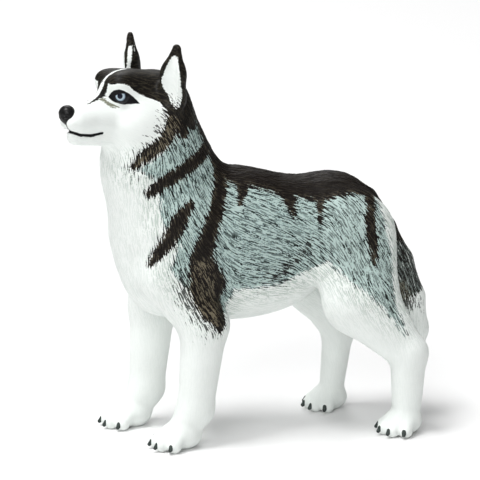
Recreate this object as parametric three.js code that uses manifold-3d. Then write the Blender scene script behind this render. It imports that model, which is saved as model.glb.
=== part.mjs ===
// A painted vinyl figurine of a standing siberian husky, about 80 mm tall.
// Millimetres, +Z up. The dog faces -Y and its left side is +X. The origin lies on the floor
// under the middle of the figurine.
//
// The body is one soft form, blended from named masses: ellipsoids and tapered limbs. The form
// is turned into meshes node by node and parted with thin cuts, so that the nodes meet face to face.

import * as THREE from "three";
import { mergeVertices } from "three/addons/utils/BufferGeometryUtils.js";
import Module from "manifold-3d";

const wasm = await Module();
wasm.setup();

// Driving dimensions

const soleLevel = 1; // the floor, in the frame that the masses below are placed in
const withersHeight = 54; // floor to the top of the shoulders
const croupHeight = 51.5; // floor to the top of the hips
const frontStance = 8.6; // from the middle plane to a front paw's centre
const hindStance = 10.1; // from the middle plane to a hind paw's centre
const frontPawY = { left: -15.4, right: -21.9 }; // the right front paw stands a step ahead
const hindPawY = { left: 30.6, right: 20.8 }; // the left hind paw stands a step back
const headCentre = [0, -17.5, 70]; // between the ears, at half the skull's height
const headYaw = THREE.MathUtils.degToRad(18.6); // the head turns to its left
const muzzleReach = 20.6; // from the head's centre to the tip of the nose
const earHeight = 11.2; // from the head's centre to the tip of an ear
const seam = 0.3; // the cut between two nodes
const middleX = 0.3; // the middle of the whole width and length, where the origin is set
const middleY = 1.2;

// The width of the grid cells that each kind of node is meshed on
const cells = { torso: 2.7, neck: 2.1, tail: 1.6, leg: 1.9, paw: 1.1, head: 1.15, ear: 0.65, small: 0.75 };

const sides = { left: 1, right: -1 };
const v = (x, y, z) => new THREE.Vector3(x, y, z);

// Masses. Each has a distance function, negative inside, and the width of its blend.

/** An ellipsoid, tilted nose-up by a turn about X. */
function ball([x, y, z], [rx, ry, rz], blend = 2, tilt = 0) {
  const c = Math.cos(tilt);
  const s = Math.sin(tilt);
  return {
    blend,
    distance(px, py, pz) {
      const dx = px - x;
      const dy = (py - y) * c + (pz - z) * s;
      const dz = (pz - z) * c - (py - y) * s;
      const k0 = Math.hypot(dx / rx, dy / ry, dz / rz);
      const k1 = Math.hypot(dx / rx ** 2, dy / ry ** 2, dz / rz ** 2);
      return k1 > 1e-9 ? (k0 * (k0 - 1)) / k1 : -Math.min(rx, ry, rz);
    },
  };
}

/** A tapered limb with round ends, its section squeezed to `share` of its depth along `across`. */
function limb(from, r1, to, r2, blend = 2, share = 1, across = [1, 0, 0]) {
  const [ax, ay, az] = from;
  const [bx, by, bz] = [to[0] - ax, to[1] - ay, to[2] - az];
  const [nx, ny, nz] = across;
  const length2 = bx * bx + by * by + bz * bz;
  const stretch = 1 / share ** 2 - 1;
  return {
    blend,
    distance(px, py, pz) {
      const x = px - ax;
      const y = py - ay;
      const z = pz - az;
      const t = THREE.MathUtils.clamp((x * bx + y * by + z * bz) / length2, 0, 1);
      const [qx, qy, qz] = [x - t * bx, y - t * by, z - t * bz];
      const side = qx * nx + qy * ny + qz * nz;
      const reach = Math.sqrt(qx * qx + qy * qy + qz * qz + stretch * side * side);
      return reach - (r1 + (r2 - r1) * t);
    },
  };
}

/** Joins masses one after another, each with its own soft blend. */
function joined(masses) {
  return (x, y, z) => {
    let d = Infinity;
    for (const mass of masses) {
      const e = mass.distance(x, y, z);
      const h = Math.max(mass.blend - Math.abs(d - e), 0);
      d = Math.min(d, e) - (h * h) / (4 * mass.blend);
    }
    return d;
  };
}

/** The same mass on both sides of the middle plane. */
function pair(make) {
  return [make(1), make(-1)];
}

// Torso and neck

const withers = soleLevel + withersHeight;
const croup = soleLevel + croupHeight;
const torsoMasses = [
  ball([0, -4, withers - 15.3], [9.8, 16, 14.9], 3), // rib cage
  ball([0, -1.5, withers - 5.4], [5.2, 8, 4.6], 3), // withers
  limb([0, -2, 42.2], 11, [0, 17.4, 42.3], 10.3, 4, 0.84), // back and loin
  ball([0, 19, croup - 9.8], [8.8, 9.2, 9.6], 3), // croup
  ball([0, 3.5, 34.8], [7.8, 14, 9.7], 4), // belly
  ball([0, -17, 44], [8.6, 9.4, 12.5], 3), // forechest
  ball([0, -14.8, 36], [7.6, 9.2, 10.4], 3), // breast
];

const neckMasses = [
  limb([0, -13.5, 48], 11, [0.8, -17.6, 65], 8.2, 3, 0.86), // neck
  ball([0.6, -19.8, 56.5], [7.8, 8.2, 12], 3), // ruff of the throat
  limb([0, -4.8, 49], 3.7, [0.4, -14.8, 64], 3.9, 3), // crest of the neck
];

// Legs

/** A front leg: shoulder, upper arm, forearm and pastern. */
function frontLegMasses(side) {
  const s = sides[side];
  const step = frontPawY[side] - frontPawY.left;
  const x = s * frontStance;
  const elbow = [x, -9.3 + step, 25.5];
  const wrist = [x, -11.1 + 0.95 * step, 8.6];
  const pastern = [x, -13.7 + 0.9 * step, 4.4];
  return [
    ball([s * 6.9, -12, 41], [4.1, 7.4, 10.5], 2.5, 0.25), // shoulder blade
    limb([s * 6.6, -16.2, 35], 5.4, elbow, 4.6, 2.5, 0.8), // upper arm
    limb(elbow, 4.6, wrist, 3.5, 2, 0.86), // forearm
    limb(wrist, 3.5, pastern, 3.05, 1.5, 0.9), // pastern
  ];
}

/** A hind leg: thigh, shank and the long metatarsus below the hock. */
function hindLegMasses(side) {
  const s = sides[side];
  const step = hindPawY[side] - hindPawY.left;
  const x = s * hindStance;
  const stifle = [s * 7.9, 22.6 + 0.38 * step, 29.5];
  const girth = side === "right" ? 0.87 : 1;
  const hock = [x, 32.2 + 0.9 * step, 17.4];
  const ankle = [x, 31.9 + step, 5.4];
  return [
    limb([s * 5.6, 21.8, 40.5], 8.8, stifle, 7.8, 3, 0.52), // thigh
    limb([s * 8.2, stifle[1] + 0.6, 28], 7, hock, 3.8 * girth, 2.5, 0.66), // shank
    limb(hock, 3.7 * girth, ankle, 2.9 * girth, 1.5, 0.85), // metatarsus
  ];
}

const pawKinds = { // a paw's size, its pad and how many degrees it turns to the dog's left
  front: { scale: 0.95, padBack: 1.3, padLength: 4.5, left: 12, right: 8 },
  hind: { scale: 0.92, padBack: 0.7, padLength: 4.2, left: 26, right: 16 },
};
const toes = [ // from a paw's middle: across, back and up
  { root: [1.15, -0.9, 2.9], tip: [1.35, -3.5, 1.3] },
  { root: [2.3, 0.1, 2.8], tip: [3.5, -1.7, 1.3] },
];

/** A paw with its four toes, turned about its middle at (x, y). */
function pawMasses(end, side, x, y) {
  const { scale, padBack, padLength, [side]: degrees } = pawKinds[end];
  const turn = THREE.MathUtils.degToRad(degrees);
  const c = scale * Math.cos(turn);
  const s = scale * Math.sin(turn);
  const place = ([across, back, up]) => {
    return [x + across * c - back * s, y + across * s + back * c, soleLevel + up];
  };
  const toe = (mirror, { root, tip }) => {
    const [from, to] = [root, tip].map(([across, back, up]) => place([mirror * across, back, up]));
    return limb(from, 1.45 * scale, to, 1.5 * scale, 0.6);
  };
  return [
    ball(place([0, padBack, 2.3]), [3.9 * scale, padLength * scale, 2.9 * scale], 1.2),
    ...pair((mirror) => toes.map((line) => toe(mirror, line))).flat(),
  ];
}

// Head, in its own frame: x to its left, -y forward, z up, from the head's centre

const eyePlace = { x: 3, y: -8.35, z: 1.4, radius: 1.9 };

const headMasses = [
  ball([0, -0.8, -0.7], [6.4, 7.6, 5.8], 2), // skull
  ball([0, -6, 1.4], [5.2, 5, 4.4], 2), // forehead
  ...pair((s) => ball([s * 2.8, -8.5, 3.6], [2.1, 2.4, 1.9], 2)), // brows
  limb([0, -12.3, -0.5], 1.4, [0, -9.2, 2.6], 1.6, 1.5), // stop, between the eyes
  ...pair((s) => ball([s * 4.2, -3.4, -4.2], [3.4, 6, 4.8], 2)), // cheeks
  ...pair((s) => ball([s * 4.9, 0.8, -5.2], [3, 4.6, 5.4], 1.5)), // cheek ruff
  limb([0, -8.4, -3.4], 3.9, [0, -16.4, -2.8], 2.7, 1.6, 1.02), // muzzle
  ...pair((s) => ball([s * 1.4, -16.3, -3.4], [1.6, 3.5, 2.1], 0.8)), // upper lips
  limb([0, -9, -6.3], 2.65, [0, -17, -6.15], 1.9, 0.9), // lower jaw
];

/** An ear: a squeezed cone with a round tip, which opens forward and outward, and its cup. */
function earMasses(s) {
  const facing = [s * 0.45, -0.89, 0];
  const cone = (ahead, radii, low, high, share) => {
    const line = [[7.3, 0.1, low], [8.1, -0.1, 5.6], [8.7, 0.3, high]];
    const at = line.map(([x, y, z], i) => [s * x + facing[0] * ahead[i], y + facing[1] * ahead[i], z]);
    return [0, 1].map((i) => limb(at[i], radii[i], at[i + 1], radii[i + 1], 1.2, share, facing));
  };
  return {
    shell: cone([0, 0, 0], [3, 2.5, 0.95], 0.7, earHeight - 0.9, 0.7),
    cup: cone([2.1, 1.7, 0.8], [2.1, 1.7, 0.35], 1, earHeight - 2.1, 0.6),
  };
}

const ears = pair(earMasses);
const headSolid = joined([...headMasses, ...ears.flatMap((ear) => ear.shell)]);
const earCups = ears.flatMap((ear) => ear.cup);

/** Distance to the head with its ear cups cut in, in the head's frame. */
function headForm(x, y, z) {
  return earCups.reduce((d, cup) => softCut(d, cup.distance(x, y, z), 0.5), headSolid(x, y, z));
}

/** Cuts the form `e` out of the form `d`, with a soft edge. */
function softCut(d, e, blend) {
  const h = Math.max(blend - Math.abs(d + e), 0);
  return Math.max(d, -e) + (h * h) / (4 * blend);
}

const yawCos = Math.cos(headYaw);
const yawSin = Math.sin(headYaw);

/** A point of the figurine in the head's frame. */
function toHead(x, y, z) {
  const dx = x - headCentre[0];
  const dy = y - headCentre[1];
  return [dx * yawCos + dy * yawSin, dy * yawCos - dx * yawSin, z - headCentre[2]];
}

// Whole body

const trunkForm = joined([
  ...torsoMasses,
  ...neckMasses,
  ...frontLegMasses("left"),
  ...frontLegMasses("right"),
  ...hindLegMasses("left"),
  ...hindLegMasses("right"),
]);
const pawForm = joined([
  ...pawMasses("front", "left", frontStance, frontPawY.left),
  ...pawMasses("front", "right", -frontStance, frontPawY.right),
  ...pawMasses("hind", "left", hindStance, hindPawY.left),
  ...pawMasses("hind", "right", -hindStance, hindPawY.right),
]);
const headBlend = 2.5;
const pawBlend = 1.2;

function bodyForm(x, y, z) {
  let d = trunkForm(x, y, z);
  if (z > 54) d = softJoin(d, headForm(...toHead(x, y, z)), headBlend);
  if (z < 12) d = softJoin(d, pawForm(x, y, z), pawBlend);
  return d;
}

function softJoin(d, e, blend) {
  const h = Math.max(blend - Math.abs(d - e), 0);
  return Math.min(d, e) - (h * h) / (4 * blend);
}

// Tail, which hangs down behind the thighs

const tailLine = [
  { at: [0, 25.6, 46.6], radius: 3 },
  { at: [0, 29, 40.6], radius: 3.2 },
  { at: [0, 32.2, 33.6], radius: 3.7 },
  { at: [0, 34.9, 26], radius: 3.6 },
  { at: [0, 36.6, 19.5], radius: 2.8 },
  { at: [0, 37.6, 14.4], radius: 1 },
];
const tailForm = joined(
  tailLine.slice(1).map((to, i) => {
    const from = tailLine[i];
    return limb(from.at, from.radius, to.at, to.radius, 1, 0.88);
  }),
);

// Eyes and nose

const noseForm = joined([
  ball([0, -muzzleReach + 1.65, -1.7], [1.8, 1.65, 1.75], 1),
  ball([0, -muzzleReach + 2.3, -2.9], [1, 1.1, 1.1], 1),
]);
const inHead = (form) => (x, y, z) => form(...toHead(x, y, z));
const eyeForm = (s) =>
  joined([ball([s * eyePlace.x, eyePlace.y, eyePlace.z], Array(3).fill(eyePlace.radius), 1)]);

// From a form to a mesh: one vertex for each cell that the surface passes through

/** The closed mesh of `form` inside `box`, on a grid of `cell` mm, as a solid. */
function solidOf(form, box, cell) {
  for (let shift = 0; shift < 1; shift += 0.11) {
    const room = box.clone().expandByScalar(cell).translate(v(shift, shift, shift).multiplyScalar(cell));
    const { positions, triangles } = netOf(form, room, cell);
    if (!meetsItself(triangles)) return solidFromArrays(positions, triangles);
  }
  throw new Error("a form is too thin for its grid");
}

/** Whether three or more faces meet at one edge. */
function meetsItself(triangles) {
  const edges = new Set();
  for (let i = 0; i < triangles.length; i++) {
    const next = i % 3 === 2 ? i - 2 : i + 1;
    edges.add(`${triangles[i]},${triangles[next]}`);
  }
  return edges.size < triangles.length;
}

function solidFromArrays(positions, triangles) {
  return largest(
    new wasm.Manifold(
      new wasm.Mesh({
        numProp: 3,
        vertProperties: new Float32Array(positions),
        triVerts: new Uint32Array(triangles),
      }),
    ),
  );
}

function netOf(form, box, cell) {
  const size = box.getSize(v());
  const [nx, ny, nz] = size.toArray().map((length) => Math.ceil(length / cell) + 1);
  const at = (i, j, k) => i + nx * (j + ny * k);
  const place = (i, j, k) => [box.min.x + i * cell, box.min.y + j * cell, box.min.z + k * cell];
  const values = new Float32Array(nx * ny * nz);
  for (let k = 0; k < nz; k++)
    for (let j = 0; j < ny; j++)
      for (let i = 0; i < nx; i++) {
        const edge = i === 0 || j === 0 || k === 0 || i === nx - 1 || j === ny - 1 || k === nz - 1;
        values[at(i, j, k)] = edge ? cell : form(...place(i, j, k));
      }

  const vertexOf = new Map();
  const positions = [];
  const corners = [0, 1].flatMap((c) => [0, 1].flatMap((b) => [0, 1].map((a) => [a, b, c])));
  const vertexIn = (i, j, k) => {
    const key = at(i, j, k);
    if (vertexOf.has(key)) return vertexOf.get(key);
    const sum = v(0, 0, 0);
    let crossings = 0;
    for (const [a, b, c] of corners)
      for (const [da, db, dc] of [[1, 0, 0], [0, 1, 0], [0, 0, 1]]) {
        if (a + da > 1 || b + db > 1 || c + dc > 1) continue;
        const p = values[at(i + a, j + b, k + c)];
        const q = values[at(i + a + da, j + b + db, k + c + dc)];
        if (p < 0 === q < 0) continue;
        const t = p / (p - q);
        sum.add(v(a + da * t, b + db * t, c + dc * t));
        crossings++;
      }
    sum.divideScalar(crossings);
    positions.push(...place(i + sum.x, j + sum.y, k + sum.z));
    vertexOf.set(key, positions.length / 3 - 1);
    return positions.length / 3 - 1;
  };

  const triangles = [];
  const steps = [[1, 0, 0], [0, 1, 0], [0, 0, 1]];
  for (let k = 0; k < nz - 1; k++)
    for (let j = 0; j < ny - 1; j++)
      for (let i = 0; i < nx - 1; i++)
        for (let axis = 0; axis < 3; axis++) {
          const [di, dj, dk] = steps[axis];
          const inside = values[at(i, j, k)] < 0;
          if (inside === values[at(i + di, j + dj, k + dk)] < 0) continue;
          const [ui, uj, uk] = steps[(axis + 1) % 3];
          const [wi, wj, wk] = steps[(axis + 2) % 3];
          const a = vertexIn(i - ui - wi, j - uj - wj, k - uk - wk);
          const b = vertexIn(i - wi, j - wj, k - wk);
          const c = vertexIn(i, j, k);
          const d = vertexIn(i - ui, j - uj, k - uk);
          triangles.push(...(inside ? [a, b, c, a, c, d] : [a, c, b, a, d, c]));
        }
  settle(positions, form, cell);
  return { positions, triangles };
}

/** Moves each vertex that is near the form's surface onto it. */
function settle(positions, form, cell) {
  const step = 0.02;
  for (let i = 0; i < positions.length; i += 3)
    for (let round = 0; round < 2; round++) {
      const [x, y, z] = positions.slice(i, i + 3);
      const d = form(x, y, z);
      if (Math.abs(d) > 0.5 * cell) break;
      const slope = v(
        form(x + step, y, z) - d,
        form(x, y + step, z) - d,
        form(x, y, z + step) - d,
      ).divideScalar(step);
      const move = THREE.MathUtils.clamp(-d / Math.max(slope.lengthSq(), 0.2), -0.3 * cell, 0.3 * cell);
      positions[i] += slope.x * move;
      positions[i + 1] += slope.y * move;
      positions[i + 2] += slope.z * move;
    }
}

/** The largest closed surface of a solid. */
function largest(solid) {
  const pieces = solid.decompose();
  return pieces.reduce((best, piece) => (piece.volume() > best.volume() ? piece : best));
}

// Cuts. A side is a plane that keeps what lies along its normal; grow moves it outwards.

const side = (point, normal) => ({ point: v(...point), normal: v(...normal).normalize() });

function trimmed(solid, planes, grow = 0) {
  return planes.reduce((kept, { point, normal }) => {
    return kept.trimByPlane(normal.toArray(), point.dot(normal) - grow);
  }, solid);
}

function solidFrom(geometry) {
  geometry.deleteAttribute("normal");
  geometry.deleteAttribute("uv");
  const merged = mergeVertices(geometry, 1e-4);
  return new wasm.Manifold(
    new wasm.Mesh({
      numProp: 3,
      vertProperties: merged.getAttribute("position").array,
      triVerts: new Uint32Array(merged.index.array),
    }),
  );
}

/** The convex space between planes, grown by the width of a seam, to cut a neighbour back. */
function space(planes) {
  const everything = solidFrom(new THREE.BoxGeometry(200, 200, 200));
  return trimmed(everything, planes, seam);
}

/** A form that ends `reach` beyond the outer side of a plane. */
function ending(form, { point, normal }, reach) {
  return (x, y, z) => {
    const beyond = (x - point.x) * normal.x + (y - point.y) * normal.y + (z - point.z) * normal.z;
    return Math.max(form(x, y, z), beyond - reach);
  };
}

/** The other side of a cut, a seam away. */
function past({ point, normal }) {
  return { point: point.clone().addScaledVector(normal, -seam), normal: normal.clone().negate() };
}

const headCut = side([0, -28, 60.2], [0, -0.3, 1]); // throat to nape, keeps the head
const neckCut = side([0, -27.5, 45], [0, -0.45, 1]); // forechest to withers, keeps the neck
const floor = side([0, 0, soleLevel], [0, 0, 1]);
const frontPawTop = 7;
const hindPawTop = 6.8;

function frontLegPlanes(s) {
  return [side([0, 0, 27], [0, 0, -1]), side([s * 3.3, 0, 0], [s, 0, 0])];
}
function hindLegPlanes(s) {
  return [side([0, 14, 31.5], [0, 0.52, -1]), side([s * 3.1, 0, 0], [s, 0, 0]), side([0, 9.5, 0], [0, 1, 0])];
}
/** The plane between an ear and the skull, keeping the ear. */
function earPlane(s) {
  const turn = (point) => point.applyAxisAngle(v(0, 0, 1), headYaw);
  const point = turn(v(s * 5.3, 0, 3)).add(v(...headCentre));
  return { point, normal: turn(v(s * 0.85, 0, 0.5)).normalize() };
}

// Nodes

const box = (x0, x1, y0, y1, z0, z1) => new THREE.Box3(v(x0, y0, z0), v(x1, y1, z1));
const sidedBox = (s, x0, x1, ...rest) => (s > 0 ? box(x0, x1, ...rest) : box(-x1, -x0, ...rest));

const paint = {
  white: { color: 0xf1f3f1, roughness: 0.6 },
  grey: { color: 0x9fb2b8, roughness: 0.62 },
  black: { color: 0x2b2624, roughness: 0.55 },
  noseBlack: { color: 0x1d1c1c, roughness: 0.35 },
  iris: { color: 0xa9c4dc, roughness: 0.2 },
};

const husky = new THREE.Group();
husky.name = "siberian_husky_figurine";

function addNode(name, solid, finish) {
  const mesh = largest(solid).getMesh();
  const geometry = new THREE.BufferGeometry();
  geometry.setAttribute("position", new THREE.BufferAttribute(mesh.vertProperties, 3));
  geometry.setIndex(new THREE.BufferAttribute(mesh.triVerts, 1));
  geometry.computeVertexNormals();
  const node = new THREE.Mesh(
    geometry,
    new THREE.MeshStandardMaterial({ ...paint[finish], metalness: 0 }),
  );
  node.name = name;
  husky.add(node);
}

const grown = (form) => (x, y, z) => form(x, y, z) - seam;
const tailBox = box(-6, 6, 20, 43, 9, 52);
const tailRoom = solidOf(grown(tailForm), tailBox, cells.tail);

const frontHalf = side([0, -3, 0], [0, -1, 0]);

function addTrunk() {
  const frontRooms = [1, -1].map((s) => space([...frontLegPlanes(s), frontHalf]));
  const hindRooms = [1, -1].map((s) => space(hindLegPlanes(s)));
  const torsoForm = ending(bodyForm, neckCut, 2);
  let torso = trimmed(solidOf(torsoForm, box(-16, 16, -32, 36, 18, 60), cells.torso), [past(neckCut)]);
  for (const room of [...frontRooms, ...hindRooms, tailRoom]) torso = torso.subtract(room);
  addNode("torso", torso, "grey");
  const neckForm = ending(bodyForm, headCut, 1.5);
  const neck = solidOf(neckForm, box(-14, 14, -32, 8, 38, 72), cells.neck);
  addNode("neck", trimmed(neck, [neckCut, past(headCut)]), "grey");
  addNode("tail", solidOf(tailForm, tailBox, cells.tail), "black");
}

function addLegs() {
  for (const [name, s] of Object.entries(sides)) {
    const frontY = frontPawY[name];
    const hindY = hindPawY[name];
    const legs = {
      front: {
        planes: [...frontLegPlanes(s), frontHalf],
        room: sidedBox(s, 0, 17, frontY - 9, frontY + 16, -2, 30),
        paw: sidedBox(s, 2, 16, frontY - 9, frontY + 9, -2, 9),
        top: frontPawTop,
      },
      hind: {
        planes: hindLegPlanes(s),
        room: sidedBox(s, 0, 18, hindY - 20, hindY + 10, -2, 46),
        paw: sidedBox(s, 3, 18, hindY - 9, hindY + 9, -2, 9),
        top: hindPawTop,
      },
    };
    for (const [end, { planes, room, paw, top }] of Object.entries(legs)) {
      const above = side([0, 0, top + seam], [0, 0, 1]);
      const below = side([0, 0, top], [0, 0, -1]);
      let leg = trimmed(solidOf(bodyForm, room, cells.leg), [...planes, above]);
      if (end === "hind") leg = leg.subtract(tailRoom);
      addNode(`${end}_${name}_leg`, leg, "white");
      addNode(`${end}_${name}_paw`, trimmed(solidOf(bodyForm, paw, cells.paw), [below, floor]), "white");
    }
  }
}

function addHead() {
  const eyeBox = (s) => {
    const at = v(s * eyePlace.x, eyePlace.y, eyePlace.z).applyAxisAngle(v(0, 0, 1), headYaw);
    return new THREE.Box3().setFromCenterAndSize(at.add(v(...headCentre)), v(6, 6, 6));
  };
  const noseAt = v(0, -muzzleReach + 1.6, -2.4).applyAxisAngle(v(0, 0, 1), headYaw).add(v(...headCentre));
  const noseBox = new THREE.Box3().setFromCenterAndSize(noseAt, v(7, 7, 7));
  const bareForm = [1, -1].reduce((form, s) => ending(form, earPlane(s), 1), bodyForm);
  let head = trimmed(solidOf(bareForm, box(-13, 14, -42, -4, 52, 80), cells.head), [headCut]);
  for (const [name, s] of Object.entries(sides)) {
    const earBox = sidedBox(s, 0, 16, -30, -6, 64, 84);
    addNode(`ear_${name}`, trimmed(solidOf(bodyForm, earBox, cells.ear), [earPlane(s)]), "black");
    head = head.subtract(space([earPlane(s)]));
    head = head.subtract(solidOf(grown(inHead(eyeForm(s))), eyeBox(s), cells.small));
    addNode(`eye_${name}`, solidOf(inHead(eyeForm(s)), eyeBox(s), cells.small), "iris");
  }
  head = head.subtract(solidOf(grown(inHead(noseForm)), noseBox, cells.small));
  addNode("nose", solidOf(inHead(noseForm), noseBox, cells.small), "noseBlack");
  addNode("head", head, "white");
}

addTrunk();
addLegs();
addHead();

husky.position.set(-middleX, -middleY, -soleLevel);

export default husky;
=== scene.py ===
# A painted vinyl figurine of a standing siberian husky, 80 mm tall.
# One seamless painted skin, with its eyes, nose and claws as pieces of their own.
import itertools
import math

import bpy
import numpy as np
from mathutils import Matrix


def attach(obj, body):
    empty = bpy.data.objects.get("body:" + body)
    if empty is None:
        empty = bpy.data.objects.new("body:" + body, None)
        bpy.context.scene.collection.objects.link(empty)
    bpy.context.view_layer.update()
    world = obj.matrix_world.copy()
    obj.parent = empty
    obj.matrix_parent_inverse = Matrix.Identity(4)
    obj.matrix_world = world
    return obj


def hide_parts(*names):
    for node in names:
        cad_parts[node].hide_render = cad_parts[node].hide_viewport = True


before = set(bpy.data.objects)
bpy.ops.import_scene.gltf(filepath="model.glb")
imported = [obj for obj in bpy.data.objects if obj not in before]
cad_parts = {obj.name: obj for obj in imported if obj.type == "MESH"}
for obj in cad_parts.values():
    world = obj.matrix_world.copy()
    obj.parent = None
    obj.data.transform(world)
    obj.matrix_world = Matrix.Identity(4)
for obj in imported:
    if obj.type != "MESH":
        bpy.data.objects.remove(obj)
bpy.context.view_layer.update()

import openvdb
from mathutils import Vector

mm = 0.001

# The form is worked out in millimetres, with the dog facing -Y and its left side at +X.
# These are the landmarks that the masses hang on.
stance = {
    "sole": 1.0,  # the floor, in the frame that the masses are placed in
    "withers": 54.0, "croup": 51.5,  # heights above the floor
    "frontX": 8.6, "hindX": 10.1,
    "frontY": {1: -15.4, -1: -21.9}, "hindY": {1: 30.6, -1: 20.8},  # 1 is the left side
    "middle": (0.3, 1.2),  # the middle of the width and length, which the frame sets at 0
}
headPose = {
    "centre": (0.0, -17.5, 70.0), "yaw": math.radians(18.6),
    "reach": 20.6,  # forward to the tip of the nose
    "ear": 11.2,  # height of the ear's tip over the centre
    "chin": 61.0,  # nothing below this height is marked as a head
}
eyeSpot = {"x": 3.0, "y": -8.35, "z": 1.4, "radius": 1.9}  # in the head's frame, left side
earFacing = (0.45, -0.89)  # the way the left ear opens, outward and forward


def clamp(value, low, high):
    return np.minimum(np.maximum(value, low), high)


# From 0 to 1, over a length
def ramp(value, start, length):
    return clamp((value - start) / length, 0, 1)


# Masses. Each knows the box it reaches and its distance, negative inside.
def ball(centre, radii, blend=2.0, tilt=0.0):
    c, s = math.cos(tilt), math.sin(tilt)
    rx, ry, rz = radii

    def distance(x, y, z):
        dx, ey, ez = x - centre[0], y - centre[1], z - centre[2]
        dy, dz = ey * c + ez * s, ez * c - ey * s
        k0 = np.sqrt((dx / rx) ** 2 + (dy / ry) ** 2 + (dz / rz) ** 2)
        k1 = np.sqrt((dx / rx**2) ** 2 + (dy / ry**2) ** 2 + (dz / rz**2) ** 2)
        return k0 * (k0 - 1) / np.maximum(k1, 1e-6)

    reach = max(radii) if tilt else np.array(radii)
    return {"blend": blend, "low": np.array(centre) - reach, "high": np.array(centre) + reach,
            "distance": distance}


def limb(start, r1, end, r2, blend=2.0, share=1.0, across=(1.0, 0.0, 0.0)):
    a, b, n = [[float(v) for v in spot] for spot in (start, end, across)]
    along = [q - p for p, q in zip(a, b)]
    length2 = sum(v * v for v in along)
    stretch = 1 / share**2 - 1  # the section is squeezed along `across`

    def distance(x, y, z):
        px, py, pz = x - a[0], y - a[1], z - a[2]
        t = clamp((px * along[0] + py * along[1] + pz * along[2]) / length2, 0, 1)
        qx, qy, qz = px - t * along[0], py - t * along[1], pz - t * along[2]
        side = qx * n[0] + qy * n[1] + qz * n[2]
        return np.sqrt(qx * qx + qy * qy + qz * qz + stretch * side * side) - (r1 + (r2 - r1) * t)

    r = max(r1, r2)
    return {"blend": blend, "low": np.minimum(a, b) - r, "high": np.maximum(a, b) + r,
            "distance": distance}


def bothSides(make):
    return [make(1), make(-1)]


def softJoin(d, e, blend):
    h = np.maximum(blend - np.abs(d - e), 0)
    return np.minimum(d, e) - h * h / (4 * blend)


def softCut(d, e, blend):
    h = np.maximum(blend - np.abs(d + e), 0)
    return np.maximum(d, -e) + h * h / (4 * blend)


# Torso, neck and legs
def trunkMasses():
    w, c = stance["sole"] + stance["withers"], stance["sole"] + stance["croup"]
    masses = [
        ball((0, -4, w - 15.3), (9.8, 16, 14.9), 3),  # rib cage
        ball((0, -1.5, w - 5.4), (5.2, 8, 4.6), 3),  # withers
        limb((0, -2, 42.2), 11, (0, 17.4, 42.3), 10.3, 4, 0.84),  # back and loin
        ball((0, 19, c - 9.8), (8.8, 9.2, 9.6), 3),  # croup
        ball((0, 3.5, 34.8), (7.8, 14, 9.7), 4),  # belly
        ball((0, -17, 44), (8.6, 9.4, 12.5), 3),  # forechest
        ball((0, -14.8, 36), (7.6, 9.2, 10.4), 3),  # breast
        limb((0, -13.5, 48), 11, (0.8, -17.6, 65), 8.2, 3, 0.86),  # neck
        ball((0.6, -19.8, 56.5), (7.8, 8.2, 12), 3),  # ruff of the throat
        limb((0, -4.8, 49), 3.7, (0.4, -14.8, 64), 3.9, 3),  # crest of the neck
    ]
    for s in (1, -1):
        masses += frontLeg(s)
    for s in (1, -1):
        masses += hindLeg(s)
    return masses


def frontLeg(s):
    step = stance["frontY"][s] - stance["frontY"][1]
    x = s * stance["frontX"]
    elbow = (x, -9.3 + step, 25.5)
    wrist = (x, -11.1 + 0.95 * step, 8.6)
    return [
        ball((s * 6.9, -12, 41), (4.1, 7.4, 10.5), 2.5, 0.25),  # shoulder blade
        limb((s * 6.6, -16.2, 35), 5.4, elbow, 4.6, 2.5, 0.8),  # upper arm
        limb(elbow, 4.6, wrist, 3.5, 2, 0.86),  # forearm
        limb(wrist, 3.5, (x, -13.7 + 0.9 * step, 4.4), 3.05, 1.5, 0.9),  # pastern
    ]


def hindLeg(s):
    step = stance["hindY"][s] - stance["hindY"][1]
    x = s * stance["hindX"]
    girth = 1 if s > 0 else 0.87
    stifle = (s * 7.9, 22.6 + 0.38 * step, 29.5)
    hock = (x, 32.2 + 0.9 * step, 17.4)
    return [
        limb((s * 5.6, 21.8, 40.5), 8.8, stifle, 7.8, 3, 0.52),  # thigh
        limb((s * 8.2, stifle[1] + 0.6, 28), 7, hock, 3.8 * girth, 2.5, 0.66),  # shank
        limb(hock, 3.7 * girth, (x, 31.9 + step, 5.4), 2.9 * girth, 1.5, 0.85),  # metatarsus
    ]


# Paws: size, how far back the pad lies, its length, and the degrees that the left (1) and right (-1)
# turn to the left
pawKinds = {
    "front": {"size": 0.95, "padBack": 1.3, "padLength": 4.5, 1: 12, -1: 8},
    "hind": {"size": 0.92, "padBack": 0.7, "padLength": 4.2, 1: 26, -1: 16},
}
toeLines = [  # root and tip of a toe: across, back and up
    ((1.15, -0.9, 2.9), (1.35, -3.5, 1.3)),
    ((2.3, 0.1, 2.8), (3.5, -1.7, 1.3)),
]


# A place in a paw's frame, moved into the dog's
def pawPlace(end, s, across, back, up):
    size, turn = pawKinds[end]["size"], math.radians(pawKinds[end][s])
    c, t = size * math.cos(turn), size * math.sin(turn)
    x, y = s * stance[end + "X"], stance[end + "Y"][s]
    return x + across * c - back * t, y + across * t + back * c, stance["sole"] + up


def pawMasses(end, s):
    kind, size = pawKinds[end], pawKinds[end]["size"]
    pad = pawPlace(end, s, 0, kind["padBack"], 2.3)
    masses = [ball(pad, (3.9 * size, kind["padLength"] * size, 2.9 * size), 1.2)]
    for mirror in (1, -1):
        for (a, b, c), (d, e, f) in toeLines:
            root, tip = pawPlace(end, s, mirror * a, b, c), pawPlace(end, s, mirror * d, e, f)
            masses.append(limb(root, 1.45 * size, tip, 1.5 * size, 0.6))
    return masses


paws = [("front", 1), ("front", -1), ("hind", 1), ("hind", -1)]


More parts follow.
